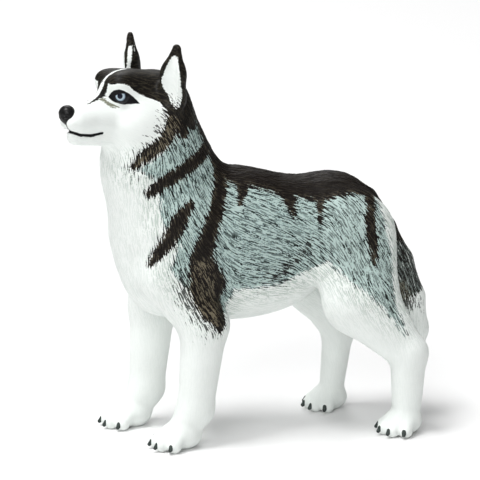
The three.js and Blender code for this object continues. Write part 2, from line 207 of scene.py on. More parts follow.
# Head, in its own frame from the head's centre: x to its left, -y forward, z up
def headMasses():
    return [
        ball((0, -0.8, -0.7), (6.4, 7.6, 5.8), 2),  # skull
        ball((0, -6, 1.4), (5.2, 5, 4.4), 2),  # forehead
        *bothSides(lambda s: ball((s * 2.8, -8.5, 3.6), (2.1, 2.4, 1.9), 2)),  # brows
        limb((0, -12.3, -0.5), 1.4, (0, -9.2, 2.6), 1.6, 1.5),  # stop, between the eyes
        *bothSides(lambda s: ball((s * 4.2, -3.4, -4.2), (3.4, 6, 4.8), 2)),  # cheeks
        *bothSides(lambda s: ball((s * 4.9, 0.8, -5.2), (3, 4.6, 5.4), 1.5)),  # cheek ruff
        limb((0, -8.4, -3.4), 3.9, (0, -16.4, -2.8), 2.7, 1.6, 1.02),  # muzzle
        *bothSides(lambda s: ball((s * 1.4, -16.3, -3.4), (1.6, 3.5, 2.1), 0.8)),  # upper lips
        limb((0, -9, -6.3), 2.65, (0, -17, -6.15), 1.9, 0.9),  # lower jaw
    ]


# An ear: a squeezed cone with a round tip, which opens forward and outward, and the cup cut in it
def earMasses(s):
    facing = (s * earFacing[0], earFacing[1], 0)
    top = headPose["ear"]

    def cone(ahead, radii, low, high, share):
        line = [(7.3, 0.1, low), (8.1, -0.1, 5.6), (8.7, 0.3, high)]
        at = [(s * x + facing[0] * a, y + facing[1] * a, z) for (x, y, z), a in zip(line, ahead)]
        return [limb(at[i], radii[i], at[i + 1], radii[i + 1], 1.2, share, facing) for i in (0, 1)]

    return (cone((0, 0, 0), (3, 2.5, 0.95), 0.7, top - 0.9, 0.7),
            cone((2.1, 1.7, 0.8), (2.1, 1.7, 0.35), 1, top - 2.1, 0.6))


# The closed mouth, as (y, z) with half its width, seen from the side
mouth = {
    "depth": 0.35,
    "line": [
        (-20, -4.9, 0.22), (-18.6, -5.1, 0.24), (-17, -5.7, 0.28), (-14.8, -6, 0.28), (-12.6, -5.7, 0.22)],
    "philtrum": [(0, -3, 0.3), (0, -5, 0.26)],  # the line under the nose, as (x, z) with half its width
    "back": -12.0, "front": -17.5,  # the lips are painted from here forward, the philtrum from there
}


# Distance to a bent line in a plane, less the half width there
def planeLine(u, v, line):
    best = np.float32(1e3)
    for (ax, ay, wa), (bx, by, wb) in zip(line, line[1:]):
        ex, ey = bx - ax, by - ay
        t = clamp(((u - ax) * ex + (v - ay) * ey) / (ex * ex + ey * ey), 0, 1)
        gap = np.sqrt((u - ax - t * ex) ** 2 + (v - ay - t * ey) ** 2) - (wa + (wb - wa) * t)
        best = np.minimum(best, gap)
    return best


def cutMouth(d, x, y, z):
    groove = planeLine(y, z, mouth["line"]) + 0 * x
    return softCut(d, np.maximum(groove, -d - mouth["depth"]), 0.2)


tailLine = [((0, 25.6, 46.6), 3), ((0, 29, 40.6), 3.2), ((0, 32.2, 33.6), 3.7), ((0, 34.9, 26), 3.6),
            ((0, 36.6, 19.5), 2.8), ((0, 37.6, 14.4), 1.0)]


def tailMasses():
    return [limb(a, r1, b, r2, 1, 0.88) for (a, r1), (b, r2) in zip(tailLine, tailLine[1:])]


def toHead(x, y, z):
    cx, cy, cz = headPose["centre"]
    c, s = math.cos(headPose["yaw"]), math.sin(headPose["yaw"])
    dx, dy = x - cx, y - cy
    return dx * c + dy * s, dy * c - dx * s, z - cz


def fromHead(spot):
    c, s = math.cos(headPose["yaw"]), math.sin(headPose["yaw"])
    x, y, z = spot
    cx, cy, cz = headPose["centre"]
    return np.array([cx + x * c - y * s, cy + x * s + y * c, cz + z])


# A field is a block of distances on a regular grid, in which masses are joined and cut.
class Field:
    def __init__(self, low, high, step, empty=4.0):
        self.low, self.step = np.array(low, float), step
        counts = np.ceil((np.array(high) - self.low) / step).astype(int) + 1
        self.values = np.full(counts, empty, np.float32)

    def axes(self, first, last):
        grids = [self.low[k] + self.step * np.arange(first[k], last[k], dtype=np.float32) for k in range(3)]
        return grids[0][:, None, None], grids[1][None, :, None], grids[2][None, None, :]

    def span(self, low, high):
        first = np.maximum(np.floor((low - self.low) / self.step).astype(int), 0)
        last = np.minimum(np.ceil((high - self.low) / self.step).astype(int) + 1, self.values.shape)
        return first, last

    def work(self, low, high, change, move=None):
        first, last = self.span(np.array(low), np.array(high))
        if (last <= first).any():
            return
        part = tuple(slice(a, b) for a, b in zip(first, last))
        x, y, z = self.axes(first, last)
        if move:
            x, y, z = move(x, y, z)
        self.values[part] = change(self.values[part], x, y, z)

    def join(self, mass, move=None, box=None):
        margin = mass["blend"] + 1.0
        low, high = box or (mass["low"] - margin, mass["high"] + margin)
        self.work(low, high, lambda d, x, y, z: softJoin(d, mass["distance"](x, y, z), mass["blend"]), move)

    def cut(self, mass, blend, move, box):
        self.work(*box, lambda d, x, y, z: softCut(d, mass["distance"](x, y, z), blend), move)


# The box of a head mass in the dog's frame
def headBox(mass, margin):
    ends = zip(mass["low"] - margin, mass["high"] + margin)
    corners = np.array([fromHead(spot) for spot in itertools.product(*ends)])
    return corners.min(0), corners.max(0)


# The boxes that the parts are worked out in, as their low and high corners
boxes = {
    "body": ((-17, -40, -1.5), (17, 43, 83)), "paws": ((-17, -32, -1.5), (17, 42, 12)),
    "head": ((-17, -40, 52), (17, -2, 83)), "mouth": ((-2, -40, 60), (17, -24, 68)),
    "soles": ((-17, -40, -1.5), (17, 43, 3)),
}
seams = {"paws": 1.2, "cup": 0.5, "head": 2.5}  # how softly the parts run into each other


def bodyField(step):
    body = Field(*boxes["body"], step)
    for mass in trunkMasses():
        body.join(mass)
    pawPart = Field(*boxes["paws"], step)
    for end, s in paws:
        for mass in pawMasses(end, s):
            pawPart.join(mass)
    joinField(body, pawPart, seams["paws"])
    for mass in tailMasses():
        body.join(mass)
    joinField(body, headField(step), seams["head"])
    body.work(*boxes["soles"], lambda d, x, y, z: np.maximum(d, stance["sole"] - z + 0 * (x + y)))
    return body


def headField(step):
    part = Field(*boxes["head"], step)
    shells, cups = [sum(masses, []) for masses in zip(earMasses(1), earMasses(-1))]
    for mass in [*headMasses(), *shells]:
        part.join(mass, toHead, headBox(mass, mass["blend"] + 1))
    for cup in cups:
        part.cut(cup, seams["cup"], toHead, headBox(cup, 1))
    part.work(*boxes["mouth"], cutMouth, toHead)
    return part


def joinField(whole, part, blend):
    offset = np.round((part.low - whole.low) / whole.step).astype(int)
    room = tuple(slice(a, a + n) for a, n in zip(offset, part.values.shape))
    seen = whole.values[room]
    part = part.values[: seen.shape[0], : seen.shape[1], : seen.shape[2]]
    whole.values[room] = softJoin(seen, part, blend)


# The field's surface, as points and four-sided faces
def surfaceOf(field):
    limit = 4 * field.step
    grid = openvdb.FloatGrid(limit)
    grid.copyFromArray(np.clip(field.values, -limit, limit))
    points, quads = grid.convertToQuads()
    return points * field.step + field.low, quads[:, ::-1]


def newMesh(name, points, faces):
    mesh = bpy.data.meshes.new(name)
    mesh.vertices.add(len(points))
    mesh.vertices.foreach_set("co", np.asarray(points, np.float32).ravel())
    sides = faces.shape[1]
    mesh.loops.add(len(faces) * sides)
    mesh.loops.foreach_set("vertex_index", faces.astype(np.int32).ravel())
    mesh.polygons.add(len(faces))
    mesh.polygons.foreach_set("loop_start", np.arange(0, len(faces) * sides, sides, dtype=np.int32))
    mesh.polygons.foreach_set("use_smooth", np.ones(len(faces), bool))
    mesh.update(calc_edges=True)
    return mesh


def newObject(name, data):
    thing = bpy.data.objects.new(name, data)
    bpy.context.scene.collection.objects.link(thing)
    return thing


def newPiece(name, mesh, material, replaced):
    piece = newObject(name, mesh)
    piece.data.materials.append(material)
    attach(piece, "root")
    if replaced:
        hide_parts(*replaced)
    return piece


def toFrame(points):
    return (points - np.array([*stance["middle"], stance["sole"]])) * mm


# One level of smooth subdivision, applied
def subdivided(points, quads):
    mesh = newMesh("rough", points, quads)
    rough = newObject("rough", mesh)
    rough.modifiers.new("fine", "SUBSURF").levels = 1
    fine = rough.evaluated_get(bpy.context.evaluated_depsgraph_get()).to_mesh()
    co = np.empty(len(fine.vertices) * 3, np.float32)
    normal = np.empty(len(fine.vertices) * 3, np.float32)
    corners = np.empty(len(fine.loops), np.int32)
    fine.vertices.foreach_get("co", co)
    fine.vertices.foreach_get("normal", normal)
    fine.loops.foreach_get("vertex_index", corners)
    rough.to_mesh_clear()
    bpy.data.objects.remove(rough)
    bpy.data.meshes.remove(mesh)
    return co.reshape(-1, 3), normal.reshape(-1, 3), corners.reshape(-1, 4)


hashPrimes = {"axes": (73856093, 19349663, 83492791), "seed": 2654435761, "mix": (2246822519, 3266489917)}
hashBits = 0xFFFFFFFF


# A random value from 0 to 1 for each cell of whole numbers
def cellValue(x, y, z, seed):
    px, py, pz = hashPrimes["axes"]
    key = ((x * px ^ y * py ^ z * pz) ^ seed * hashPrimes["seed"]) & hashBits
    for shift, prime in zip((15, 13), hashPrimes["mix"]):
        key = ((key ^ (key >> shift)) * prime) & hashBits
    return ((key ^ (key >> 16)) & 0xFFFF) / 65535.0


# Smooth random values about 0 in space, one cell `size` mm wide
def valueNoise(points, size, seed):
    spot = points / size
    base = np.floor(spot)
    t = spot - base
    t = t * t * (3 - 2 * t)
    base = base.astype(np.int64)
    total = np.zeros(len(points), np.float32)
    for i, j, k in itertools.product((0, 1), repeat=3):
        value = cellValue(base[:, 0] + i, base[:, 1] + j, base[:, 2] + k, seed)
        weight = abs(1 - i - t[:, 0]) * abs(1 - j - t[:, 1]) * abs(1 - k - t[:, 2])
        total += (weight * value).astype(np.float32)
    return total - 0.5


# The lie of the coat: places with the way the strokes run there, on the left side
coatLie = [
    ((0, -20, 73), (0, 0.9, 0.3)), ((0, -32, 70), (0, 1, 0)), ((7, -22, 66), (0.2, 0.9, -0.3)),
    ((8, -15, 63), (0, 0.5, -0.9)), ((8, -20, 58), (0, -0.1, -1)), ((0, -27, 55), (0, 0, -1)),
    ((3, -8, 63), (0, 0.5, -0.9)), ((8, -13, 52), (0, 0.3, -1)), ((9, -18, 44), (0, 0.1, -1)),
    ((0, -26, 42), (0, 0.1, -1)), ((10, -10, 44), (0, 0.55, -0.85)), ((10, -9, 33), (0, 0.4, -0.9)),
    ((0, 2, 55), (0, 1, 0)), ((9, 0, 48), (0, 0.9, -0.45)), ((9, 2, 40), (0, 0.95, -0.3)),
    ((9, 3, 33), (0, 0.97, -0.25)), ((0, 14, 53), (0, 1, 0)), ((8, 12, 45), (0, 0.9, -0.45)),
    ((8, 13, 36), (0, 0.8, -0.6)), ((9, 20, 43), (0, 0.45, -0.9)), ((11, 22, 34), (0, 0.35, -0.95)),
    ((6, 27, 47), (0, 0.6, -0.8)), ((11, 27, 28), (0, 0.5, -0.85)), ((0, 34, 35), (0, 0.4, -0.9)),
    ((0, 37, 20), (0, 0.1, -1)), ((10, 32, 12), (0, 0, -1)), ((9, -10, 15), (0, -0.1, -1)),
    ((0, 5, 25), (0, 1, 0)), ((4, -32, 64), (0.3, 0.9, -0.2)),
]


def lieOf(points, normals):
    spots = np.array([spot for spot, way in coatLie], np.float32)
    ways = np.array([way for spot, way in coatLie], np.float32)
    ways /= np.linalg.norm(ways, axis=1)[:, None]
    mirrored = points * np.where(points[:, :1] < 0, np.float32([-1, 1, 1]), np.float32([1, 1, 1]))
    total = np.zeros_like(points)
    for spot, way in zip(spots, ways):
        far = ((mirrored - spot) ** 2).sum(1)
        total += (1 / (far + 4) ** 2)[:, None] * way
    total[:, 0] *= np.where(points[:, 0] < 0, -1, 1)
    total -= normals * (total * normals).sum(1)[:, None]
    return total / np.maximum(np.linalg.norm(total, axis=1), 1e-9)[:, None]


# Engraved strokes: noise smeared along the lie of the coat
def strokes(points, lie, width, length, seed):
    taps = 9
    total = np.zeros(len(points), np.float32)
    for tap in np.linspace(-0.5, 0.5, taps):
        total += valueNoise(points + lie * np.float32(tap * length), width, seed)
    return total / math.sqrt(taps)


print("husky: form")
fieldStep = 0.26
field = bodyField(fieldStep)
roughPoints, roughFaces = surfaceOf(field)
points, normals, faces = subdivided(roughPoints.astype(np.float32), roughFaces)
print("husky: skin of", len(points), "points,", len(faces), "faces")


# Markings, in millimetres. Distances to them are negative inside.
# Each stripe is a line of places on the left flank with half its width; the right side mirrors it.
stripes = {
    "spine": [
        (0, -9.5, 69, 5.2), (0, -8, 64, 4.8), (0, -5.5, 58.8, 5), (0, -1, 55.4, 5.9), (0, 8, 53.3, 6.1),
        (0, 15.6, 52.7, 7), (0, 22, 51.4, 6.6), (0, 26, 49.2, 5.5), (0, 29.5, 45.5, 4.4), (0, 31.5, 41, 3.8)],
    "cheekFringe": [
        (8.5, -15.6, 69, 0.9), (8.1, -15.3, 66.7, 1.3), (8.4, -15.8, 64.6, 1.5), (8.6, -17.4, 62.4, 1.7),
        (8.6, -19.4, 60.7, 1.6), (8.3, -21.5, 59.2, 1.4), (7.9, -22.8, 57.8, 0.9)],
    "nape": [(7.3, -13.4, 69, 1.8), (7.4, -13.4, 66.4, 2), (7.4, -13, 63.8, 1.4)],
    "neckStripe": [
        (5.2, -8.3, 59.5, 1.8), (7.9, -12, 57.4, 1.7), (8.8, -14.9, 55.8, 1.7), (9, -17.5, 54.4, 1.6),
        (8.6, -19.9, 52.7, 1.1)],
    "chestStripe": [
        (9.8, -12.4, 50, 1.1), (10.4, -14.4, 47.4, 1.8), (10.5, -16, 44.4, 1.7), (9.6, -18.4, 41.1, 1.3),
        (8.9, -20, 38.7, 0.9)],
    "shoulderStripe": [
        (3.6, -5.3, 56.2, 1.8), (6, -5.3, 53.3, 1.7), (8.7, -6.6, 49.2, 1.7), (10.6, -8.9, 44, 1.9),
        (10.8, -10.4, 39.5, 2.5), (10.6, -9.8, 36.7, 3.2), (10.4, -8.9, 33.4, 4.2), (11.2, -8.4, 29.7, 3.1),
        (12.2, -7.2, 26.6, 1.6)],
    "backTongue1": [(4.9, -0.8, 53.4, 1.8), (6.6, -1.1, 51.8, 1.3), (8.4, -2.1, 49.1, 0.6)],
    "backTongue2": [(5.3, 8, 51, 2.2), (6.8, 8.4, 49.3, 1.6), (8.3, 8.8, 46, 0.5)],
    "backTongue3": [(5.5, 14.8, 50.7, 1.5), (7.5, 14.5, 48.2, 1.1), (8.8, 14.1, 45, 0.6)],
    "rumpStripe": [
        (6.2, 24.7, 49.1, 1.5), (9.4, 24, 45, 1.4), (10, 24.4, 41.1, 1.3), (10.8, 24.7, 36.6, 0.8)],
}
brushed = {  # where dark paint is brushed thinly over the strokes
    "flankShade": [
        (8.8, 12.7, 41.5, 0.5), (8.7, 10.5, 38.6, 1.1), (8.7, 8.2, 36.4, 1.3), (8.8, 5.7, 34.6, 1),
        (8.9, 2.2, 33.1, 0.3)],
    "elbow": [(10, -10.6, 37, 3.2), (10, -10.8, 33.4, 4.2), (11, -9.6, 30, 3.2), (12.2, -8, 26.6, 1.6)],
    "fringe": [
        (8.2, -14.6, 67.5, 2.4), (8.4, -15.4, 64.4, 2.4), (8.9, -18.2, 61.2, 2), (8.1, -22.2, 58.2, 1.4)],
    "tailEnd": [(3, 32.6, 29.5, 1.5), (3, 34, 26.5, 1.6), (3, 35.5, 26, 0.8)],
}
greySide = [  # the grey of the flank, as (y, z)
    (-3.2, 32.2), (1.6, 32.5), (5.8, 32.7), (11, 34.7), (13.9, 36.1), (15.6, 37.2), (17.7, 34.9),
    (20.1, 32.6), (22.8, 31), (26.4, 27.2), (31.4, 21.8), (28.6, 28.5), (28.8, 33.5), (28.8, 37.1),
    (28, 41.8), (27, 45.5), (26, 50), (20, 56), (0, 60), (-8.5, 70), (-15, 70), (-17.2, 64.5),
    (-19.4, 60.6), (-24.2, 57.2), (-20.3, 55.5), (-18.1, 51.1), (-17.6, 46.7), (-15, 42.4), (-16.5, 37.5),
    (-13, 33), (-9, 27), (-5, 28.5),
]
neckTurn = (48, 18)  # the neck turns from this height up, and over this much of it
thighs = (9, 10)  # how far back the grey begins to get paler, and over what length
tailTip = {"y": [32, 38], "z": [25.8, 28.4]}  # the tail is white below this height
capEdge = {  # the lower edge of the dark cap: height over y, in the head's frame
    "y": [-12.5, -11.5, -10.4, -9.2, -8.2, -7.2, -6, -4.3, -3, -1.8, -0.9, 0, 4],
    "z": [2.8, 3.4, 4, 3.9, 3.5, 2.5, 1.7, 0.9, 0.3, -0.1, -0.6, -2.4, -6],
    "front": -11.6, "back": 5.5,
}
blaze = {  # a white line up the forehead, between two dark ones that run into the cap
    "whiteY": [-15.5, -12, -6, -5.2], "whiteHalf": [0.2, 0.32, 0.3, -0.2],
    "y": [-15.1, -13.6, -12.4, -11.4, -10.6, -9.2], "x": [0.7, 0.8, 0.92, 1.1, 1.45, 2.1],
    "half": [0.1, 0.24, 0.34, 0.5, 0.8, 1.1], "lowest": -0.8,
}
underEye = [(1, -12.4, 0.9, 0.26), (1.9, -11.5, 0.3, 0.3), (2.4, -11, -0.2, 0.3), (3.5, -9.8, -0.9, 0.14)]
innerEar = {  # the white of the ear, in the head's frame
    "seen": (0.54, 0.84),  # the way back, as the outline sees it
    "outline": [  # how far back and how high
        (4.5, 9.3), (3.4, 8), (2.6, 6), (1.9, 4.2), (2.3, 2.8), (3.2, 1.5), (4, -0.5), (4.6, -1.2),
        (5.6, -0.6), (6, 1.6), (5.8, 3.6), (5.5, 6.4), (5.2, 8.8)],
    "middle": (8, 0.1), "ahead": -0.6, "across": -2.1,  # it starts this far from the ear's middle
    "skin": 0.5, "foot": -3, "side": 4,  # how near the ear's form, how low and how far out a point may be
    "crestZ": [2, 5.6, 9], "crest": [1.55, 1.3, 0.8],  # how far ahead the rim is, over the height
    "band": (-1, -0.22), "bandZ": (2.8, 8.8),  # a white band behind the right ear's rim
}
eyeLiner = {  # the dark almond round the eye, across and up from its middle
    "middle": (1.15, -1.45, 0.1),  # from the eye's own middle
    "across": (0.78, 0.62, -0.04), "up": (0.05, 0.05, 1.0), "reach": 4.6, "uMiddle": 0.58, "uHalf": 3.02,
    "u": [-2.45, -1.8, -1.05, 0, 0.95, 1.85, 2.8, 3.6],
    "upper": [-0.5, 0.45, 1.1, 1.38, 1.15, 0.45, -0.5, -1.25],
    "lower": [-0.5, -1.1, -1.45, -1.65, -1.62, -1.45, -1.28, -1.25],
}


# Distance from points to a line of places, less the half width there
def lineDistance(points, line):
    best = np.full(len(points), 1e3, np.float32)
    for (*a, wa), (*b, wb) in zip(line, line[1:]):
        a, b = np.float32(a), np.float32(b)
        along = b - a
        t = clamp((points - a) @ along / float(along @ along), 0, 1)
        gap = np.linalg.norm(points - a - t[:, None] * along, axis=1) - (wa + (wb - wa) * t)
        best = np.minimum(best, gap)
    return best


# Signed distance to a closed outline in a plane
def outlineDistance(u, v, outline):
    best = np.full(len(u), 1e6, np.float32)
    inside = np.zeros(len(u), bool)
    for (ax, ay), (bx, by) in zip(outline, outline[1:] + outline[:1]):
        ex, ey = bx - ax, by - ay
        t = clamp(((u - ax) * ex + (v - ay) * ey) / (ex * ex + ey * ey), 0, 1)
        best = np.minimum(best, (u - ax - t * ex) ** 2 + (v - ay - t * ey) ** 2)
        crosses = (ay > v) != (by > v)
        inside ^= crosses & (u < (bx - ax) * (v - ay) / (by - ay + 1e-12) + ax)
    return np.where(inside, -1, 1) * np.sqrt(best)


# Points with the turn of the head taken out of the neck, so that both sides can be marked alike
def unturned(points):
    t = ramp(points[:, 2], *neckTurn)
    angle = -headPose["yaw"] * t * t * (3 - 2 * t)
    cx, cy, _ = headPose["centre"]
    dx, dy = points[:, 0] - cx, points[:, 1] - cy
    x, y = dx * np.cos(angle) - dy * np.sin(angle) + cx, dx * np.sin(angle) + dy * np.cos(angle) + cy
    return np.stack([x, y, points[:, 2]], 1).astype(np.float32)


def flankDistance(left, line):
    spots = unturned(np.array([place[:3] for place in line]))
    return lineDistance(left, [(*spot, place[3]) for spot, place in zip(spots, line)])


def trunkMarks(left):
    onTail = lineDistance(left, [(*spot, radius + 0.6) for spot, radius in tailLine])
    tailEnd = np.interp(left[:, 1], tailTip["y"], tailTip["z"]).astype(np.float32)
    return {
        "tail": np.maximum(onTail, tailEnd - left[:, 2]),
        "dark": np.minimum.reduce([flankDistance(left, line) for line in stripes.values()]),
        "brushed": np.minimum.reduce([flankDistance(left, line) for line in brushed.values()]),
        "grey": outlineDistance(left[:, 1], left[:, 2], greySide),
        "pale": ramp(left[:, 1], *thighs),
    }


# The dark cap of the head with its blaze; `head` has both sides folded onto the left
def capMark(head):
    across, y, z = head.T
    edge = np.interp(y, capEdge["y"], capEdge["z"]).astype(np.float32)
    cap = np.maximum.reduce([edge - z, capEdge["front"] - y, y - capEdge["back"]])
    line = np.abs(across - np.interp(y, blaze["y"], blaze["x"])) - np.interp(y, blaze["y"], blaze["half"])
    onTop = (z > blaze["lowest"]) & (y < blaze["y"][-1]) & (y > blaze["y"][0])
    cap = np.where(onTop, np.minimum(cap, line), cap)
    white = np.interp(y, blaze["whiteY"], blaze["whiteHalf"]) - across
    return np.maximum(cap, np.where(y < blaze["whiteY"][-1], white, -9))


# The ears are dark, with the white of their cups
def earMark(cap, head, hx, hy, hz):
    ear = innerEar
    dx, dy = head[:, 0] - ear["middle"][0], hy - ear["middle"][1]
    ahead = dx * earFacing[0] + dy * earFacing[1]
    across = dy * earFacing[0] - dx * earFacing[1]
    inner = outlineDistance(head[:, 0] * ear["seen"][0] + hy * ear["seen"][1], hz, ear["outline"])
    shells = [np.minimum.reduce([part["distance"](hx, hy, hz) for part in earMasses(s)[0]]) for s in (1, -1)]
    for s, shell in zip((1, -1), shells):
        onEar = (shell < 0.4) & (s * hx > 0) & (hz > ear["foot"])
        cap = np.where(onEar, np.minimum(cap, -0.4), cap)
        onCup = (shell < ear["skin"]) & (s * hx > ear["side"])
        onCup &= (ahead > ear["ahead"]) & (across > ear["across"])
        cap = np.where(onCup, np.maximum(cap, -inner), cap)
    fromCrest = ahead - np.interp(hz, ear["crestZ"], ear["crest"])
    (back, front), (low, high) = ear["band"], ear["bandZ"]
    band = np.minimum.reduce([fromCrest - back, front - fromCrest, hz - low, high - hz])
    return np.where((shells[1] < ear["skin"]) & (hx < -ear["side"]), np.maximum(cap, band), cap)


def eyeMark(head):
    away = head - np.array([eyeSpot["x"], eyeSpot["y"], eyeSpot["z"]]) - eyeLiner["middle"]
    u = away @ np.array(eyeLiner["across"])
    v = away @ np.array(eyeLiner["up"])
    upper = np.interp(u, eyeLiner["u"], eyeLiner["upper"])
    lower = np.interp(u, eyeLiner["u"], eyeLiner["lower"])
    near = (np.linalg.norm(away, axis=1) < eyeLiner["reach"]) & (head[:, 0] > 0.8)
    almond = np.maximum.reduce([v - upper, lower - v, np.abs(u - eyeLiner["uMiddle"]) - eyeLiner["uHalf"]])
    return np.where(near, almond, 9)


def markings(points):
    left = unturned(points)
    left[:, 0] = np.abs(left[:, 0])
    hx, hy, hz = toHead(*points.T)
    head = np.stack([np.abs(hx), hy, hz], 1).astype(np.float32)
    onHead = points[:, 2] > headPose["chin"]
    marks = trunkMarks(left)
    marks["cap"] = earMark(np.where(onHead, capMark(head), 9), head, hx, hy, hz)
    lips = np.where((hy < mouth["back"]) & onHead, planeLine(hy, hz, mouth["line"]), 9)
    philtrum = np.where(hy < mouth["front"], planeLine(hx, hz, mouth["philtrum"]), 9)
    marks["liner"] = np.minimum.reduce([eyeMark(head), lips, philtrum])
    marks["olive"] = np.where(onHead, lineDistance(head, underEye), 9)
    return marks


coatStyle = {  # width, length and depth of each kind of stroke, with its seed
    "strokes": (0.21, 1.25, 0.13, 3), "fineStrokes": (0.14, 0.9, 0.052, 7), "clumps": (1.3, 4.5, 0.07, 5),
    "highest": 0.25, "flatSole": 0.15,
}
coatFade = {  # where the engraving dies out, as a start and a length, and what that takes off it
    "headUp": (60, 4), "headBack": (-1, 4), "head": 0.85,
    "legsUp": (20, 9), "legsAcross": 3.4, "legs": 0.75,
    "whiteOver": (2, 2.8), "white": 0.3,  # on white fur, this share is left
}


# The engraving is deep on the flanks, neck and tail and dies out on the face, legs and paws.
def coatRelief(points, marks):
    fade, z = coatFade, points[:, 2]
    _, hy, _ = toHead(*points.T)
    onHead = ramp(z, *fade["headUp"]) * (1 - ramp(hy, *fade["headBack"]))
    onLegs = (1 - ramp(z, *fade["legsUp"])) * (np.abs(points[:, 0]) > fade["legsAcross"])
    furry = 1 - (1 - fade["white"]) * ramp(marks["grey"], *fade["whiteOver"])
    furry = np.where(marks["dark"] < 0.5, 1, furry)
    return furry * (1 - fade["head"] * onHead) * (1 - fade["legs"] * onLegs)


def engraved(points, normals, lie, relief):
    height = np.zeros(len(points))
    for kind in ("strokes", "fineStrokes", "clumps"):
        width, length, depth, seed = coatStyle[kind]
        height += depth * strokes(points, lie, width, length, seed)
    height = np.minimum(relief * height, coatStyle["highest"])
    onSole = points[:, 2] < stance["sole"] + coatStyle["flatSole"]
    return points + normals * np.where(onSole, 0, height)[:, None]


print("husky: coat")
lie = lieOf(points, normals)
marks = markings(points)
relief = coatRelief(points, marks)
points = engraved(points, normals, lie, relief)


# Node helpers
def addNode(tree, kind, **values):
    node = tree.nodes.new(kind)
    for name, value in values.items():
        setattr(node, name, value)
    return node


def connect(tree, value, socket):
    if isinstance(value, bpy.types.NodeSocket):
        tree.links.new(value, socket)
    else:
        socket.default_value = value


def maths(tree, operation, a, b):
    node = addNode(tree, "ShaderNodeMath", operation=operation)
    connect(tree, a, node.inputs[0])
    connect(tree, b, node.inputs[1])
    return node.outputs[0]


def times(tree, a, b):
    return maths(tree, "MULTIPLY", a, b)


def plus(tree, a, b):
    return maths(tree, "ADD", a, b)


# A value of 0 to 1, as a swing about 0
def swingOf(tree, value, amount):
    return times(tree, maths(tree, "SUBTRACT", value, 0.5), amount)


def mixColour(tree, factor, a, b):
    node = addNode(tree, "ShaderNodeMix", data_type="RGBA")
    connect(tree, factor, node.inputs[0])
    for value, socket in ((a, node.inputs[6]), (b, node.inputs[7])):
        connect(tree, value if isinstance(value, bpy.types.NodeSocket) else (*value, 1), socket)
    return node.outputs[2]


# Softly from 0 at one value to 1 at another
def mask(tree, value, zeroAt, oneAt):
    node = addNode(tree, "ShaderNodeMapRange", interpolation_type="SMOOTHSTEP")
    for i, part in enumerate((value, zeroAt, oneAt)):
        connect(tree, part, node.inputs[i])
    return node.outputs[0]


def attribute(tree, name):
    return addNode(tree, "ShaderNodeAttribute", attribute_name=name).outputs["Fac"]


def noise(tree, scale, detail=2.0, place=None):
    node = addNode(tree, "ShaderNodeTexNoise", noise_dimensions="3D")
    connect(tree, place or addNode(tree, "ShaderNodeTexCoord").outputs["Object"], node.inputs["Vector"])
    connect(tree, scale, node.inputs["Scale"])
    connect(tree, detail, node.inputs["Detail"])
    return node.outputs["Fac"]


# A node group with its sockets: each has a name and a kind, or a number that a float socket starts at
def newGroup(name, ins, outs):
    group = bpy.data.node_groups.new(name, "ShaderNodeTree")
    for way, sockets in (("INPUT", ins), ("OUTPUT", outs)):
        for title, kind in sockets.items():
            isFloat = not isinstance(kind, str)
            socketType = "NodeSocketFloat" if isFloat else "NodeSocket" + kind
            socket = group.interface.new_socket(title, in_out=way, socket_type=socketType)
            if isFloat:
                socket.default_value = kind
    return group, group.nodes.new("NodeGroupInput").outputs, group.nodes.new("NodeGroupOutput").inputs


# Fine strokes along a direction: noise smeared by a few taps. The value swings about 0.
def strokeGroup():
    taps = 7
    ins = {"Lie": "Vector", "Fineness": 3600.0, "Length": 0.0011, "Contrast": 6.0}
    group, inside, outside = newGroup("engravedStrokes", ins, {"Stroke": "Float"})
    place = addNode(group, "ShaderNodeTexCoord").outputs["Object"]
    total = 0.0
    for tap in range(taps):
        shift = addNode(group, "ShaderNodeVectorMath", operation="SCALE")
        connect(group, inside["Lie"], shift.inputs[0])
        connect(group, times(group, inside["Length"], tap / (taps - 1) - 0.5), shift.inputs["Scale"])
        spot = addNode(group, "ShaderNodeVectorMath", operation="ADD")
        connect(group, place, spot.inputs[0])
        connect(group, shift.outputs[0], spot.inputs[1])
        total = plus(group, total, noise(group, inside["Fineness"], 0.0, spot.outputs[0]))
    swing = swingOf(group, times(group, total, 1 / taps), inside["Contrast"])
    group.links.new(swing, outside["Stroke"])
    return group


engravedStrokes = strokeGroup()


def strokesAt(tree, fineness, length, contrast):
    node = addNode(tree, "ShaderNodeGroup", node_tree=engravedStrokes)
    lie = addNode(tree, "ShaderNodeAttribute", attribute_name="lie").outputs["Vector"]
    for name, value in (("Lie", lie), ("Fineness", fineness), ("Length", length), ("Contrast", contrast)):
        connect(tree, value, node.inputs[name])
    return node.outputs["Stroke"]


# Hand-painted finish shared by the pieces: a little mottling in the colour, gloss and surface
def paintGroup():
    ins = {"Colour": "Color", "Mottle": 0.08, "Gloss": 0.5, "Grain": 1.0}
    outs = {"Colour": "Color", "Roughness": "Float", "Height": "Float"}
    group, inside, outside = newGroup("handPaint", ins, outs)
    broad = noise(group, 180.0, 3.0)
    fine = noise(group, 2600.0)
    tone = addNode(group, "ShaderNodeHueSaturation")
    connect(group, inside["Colour"], tone.inputs["Color"])
    connect(group, plus(group, 1.0, swingOf(group, broad, inside["Mottle"])), tone.inputs["Value"])
    group.links.new(tone.outputs[0], outside["Colour"])
    group.links.new(plus(group, inside["Gloss"], swingOf(group, broad, 0.16)), outside["Roughness"])
    group.links.new(times(group, fine, inside["Grain"]), outside["Height"])
    return group


handPaint = paintGroup()
vinyl = {"IOR": 1.46, "Coat Roughness": 0.2, "Specular IOR Level": 0.15}


